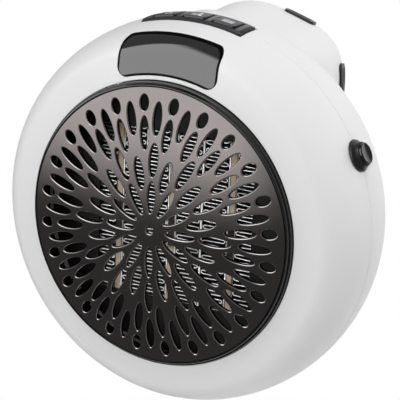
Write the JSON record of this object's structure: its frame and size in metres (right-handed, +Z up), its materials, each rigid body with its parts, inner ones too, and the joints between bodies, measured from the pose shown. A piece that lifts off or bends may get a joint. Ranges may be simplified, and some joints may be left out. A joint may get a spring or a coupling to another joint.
{
  "type": "plug-in fan heater",
  "caption": "Round wall-plug fan heater: domed slotted grille, ribbed ceramic heater and fan in a bulging white casing that turns on a plug in its rear boss.",
  "frame": {"origin": "centre of the plug's end face, which seats in the wall socket", "axes": "+Y along the plug's pins into the wall, +Z up, +X to the right as seen from the front"},
  "size_m": [0.1706, 0.1552, 0.1716],
  "materials": {
    "plug_carrier": "black",
    "plug_pin_left": "nickel plated",
    "plug_pin_right": "nickel plated",
    "plug_retainer": "plated",
    "plug_contact_left": "plain",
    "plug_contact_right": "plain",
    "front_shell": "satin white moulding",
    "rear_shell": "satin white moulding",
    "trim_ring": "gloss black",
    "grille": "gunmetal, semi-gloss",
    "display_window": "smoked, high gloss",
    "display_module": "black",
    "display_board": "green solder mask",
    "control_panel": "dark grey, satin",
    "button_board": "green solder mask",
    "tact_switch_left": "black",
    "tact_switch_middle": "black",
    "tact_switch_right": "black",
    "side_switch_bezel": "gloss black",
    "side_switch_body": "black",
    "heater_frame": "black, heat resistant",
    "ptc_bar_left": "amber film over ceramic",
    "ptc_bar_middle": "amber film over ceramic",
    "ptc_bar_right": "amber film over ceramic",
    "fin_pack_1": "mill",
    "fin_pack_2": "mill",
    "fin_pack_3": "mill",
    "fin_pack_4": "mill",
    "fin_pack_5": "mill",
    "fin_pack_6": "mill",
    "heater_rail_1": "mill",
    "heater_rail_2": "mill",
    "heater_rail_3": "mill",
    "heater_rail_4": "mill",
    "thermal_cutout": "off-white",
    "fan_shroud": "black",
    "fan_motor": "plated can",
    "intake_ring": "black",
    "power_board": "green solder mask",
    "relay": "blue",
    "capacitor": "black sleeve",
    "case_screw_1": "plated",
    "case_screw_2": "plated",
    "case_screw_3": "plated",
    "case_screw_4": "plated",
    "heater_screw_1": "plated",
    "heater_screw_2": "plated",
    "heater_screw_3": "plated",
    "heater_screw_4": "plated",
    "fan_screw_1": "plated",
    "fan_screw_2": "plated",
    "fan_screw_3": "plated",
    "board_screw_1": "plated",
    "board_screw_2": "plated",
    "impeller": "natural nylon",
    "motor_shaft": "ground",
    "button_left": "dark grey, satin",
    "button_middle": "dark grey, satin",
    "button_right": "dark grey, satin",
    "side_switch_cap": "gloss black"
  },
  "bodies": {
    "plug": {"plug_carrier": "plug_carrier", "plug_pin_left": "plug_pin_left", "plug_pin_right": "plug_pin_right", "plug_retainer": "plug_retainer", "plug_contact_left": "plug_contact_left", "plug_contact_right": "plug_contact_right"},
    "housing": {"front_shell": "front_shell", "rear_shell": "rear_shell", "trim_ring": "trim_ring", "grille": "grille", "display_window": "display_window", "display_module": "display_module", "display_board": "display_board", "control_panel": "control_panel", "button_board": "button_board", "tact_switch_left": "tact_switch_left", "tact_switch_middle": "tact_switch_middle", "tact_switch_right": "tact_switch_right", "side_switch_bezel": "side_switch_bezel", "side_switch_body": "side_switch_body", "heater_frame": "heater_frame", "ptc_bar_left": "ptc_bar_left", "ptc_bar_middle": "ptc_bar_middle", "ptc_bar_right": "ptc_bar_right", "fin_pack_1": "fin_pack_1", "fin_pack_2": "fin_pack_2", "fin_pack_3": "fin_pack_3", "fin_pack_4": "fin_pack_4", "fin_pack_5": "fin_pack_5", "fin_pack_6": "fin_pack_6", "heater_rail_1": "heater_rail_1", "heater_rail_2": "heater_rail_2", "heater_rail_3": "heater_rail_3", "heater_rail_4": "heater_rail_4", "thermal_cutout": "thermal_cutout", "fan_shroud": "fan_shroud", "fan_motor": "fan_motor", "intake_ring": "intake_ring", "power_board": "power_board", "relay": "relay", "capacitor": "capacitor", "case_screw_1": "case_screw_1", "case_screw_2": "case_screw_2", "case_screw_3": "case_screw_3", "case_screw_4": "case_screw_4", "heater_screw_1": "heater_screw_1", "heater_screw_2": "heater_screw_2", "heater_screw_3": "heater_screw_3", "heater_screw_4": "heater_screw_4", "fan_screw_1": "fan_screw_1", "fan_screw_2": "fan_screw_2", "fan_screw_3": "fan_screw_3", "board_screw_1": "board_screw_1", "board_screw_2": "board_screw_2"},
    "impeller": {"impeller": "impeller", "motor_shaft": "motor_shaft"},
    "button_left": {"button_left": "button_left"},
    "button_middle": {"button_middle": "button_middle"},
    "button_right": {"button_right": "button_right"},
    "side_switch_cap": {"side_switch_cap": "side_switch_cap"}
  },
  "joints": [
    {"name": "plug_turn", "type": "hinge", "parent": "plug", "child": "housing", "pos_m": [0, 0, 0], "axis": [0, 1, 0], "range_deg": [-90, 90]},
    {"name": "fan_spin", "type": "hinge", "parent": "housing", "child": "impeller", "pos_m": [0, -0.08886, -0.042], "axis": [0, 1, 0], "continuous": true},
    {"name": "button_left_press", "type": "slide", "parent": "housing", "child": "button_left", "axis": [0.165, 0, -0.9863], "range_m": [0, 0.0006], "stiffness_N_per_m": 300, "springref_m": -0.001},
    {"name": "button_middle_press", "type": "slide", "parent": "housing", "child": "button_middle", "axis": [0, 0, -1], "range_m": [0, 0.0006], "stiffness_N_per_m": 300, "springref_m": -0.001},
    {"name": "button_right_press", "type": "slide", "parent": "housing", "child": "button_right", "axis": [-0.165, 0, -0.9863], "range_m": [0, 0.0006], "stiffness_N_per_m": 300, "springref_m": -0.001},
    {"name": "side_switch_press", "type": "slide", "parent": "housing", "child": "side_switch_cap", "axis": [-0.9003, 0, -0.4352], "range_m": [0, 0.0008], "stiffness_N_per_m": 800, "springref_m": -0.001}
  ]
}
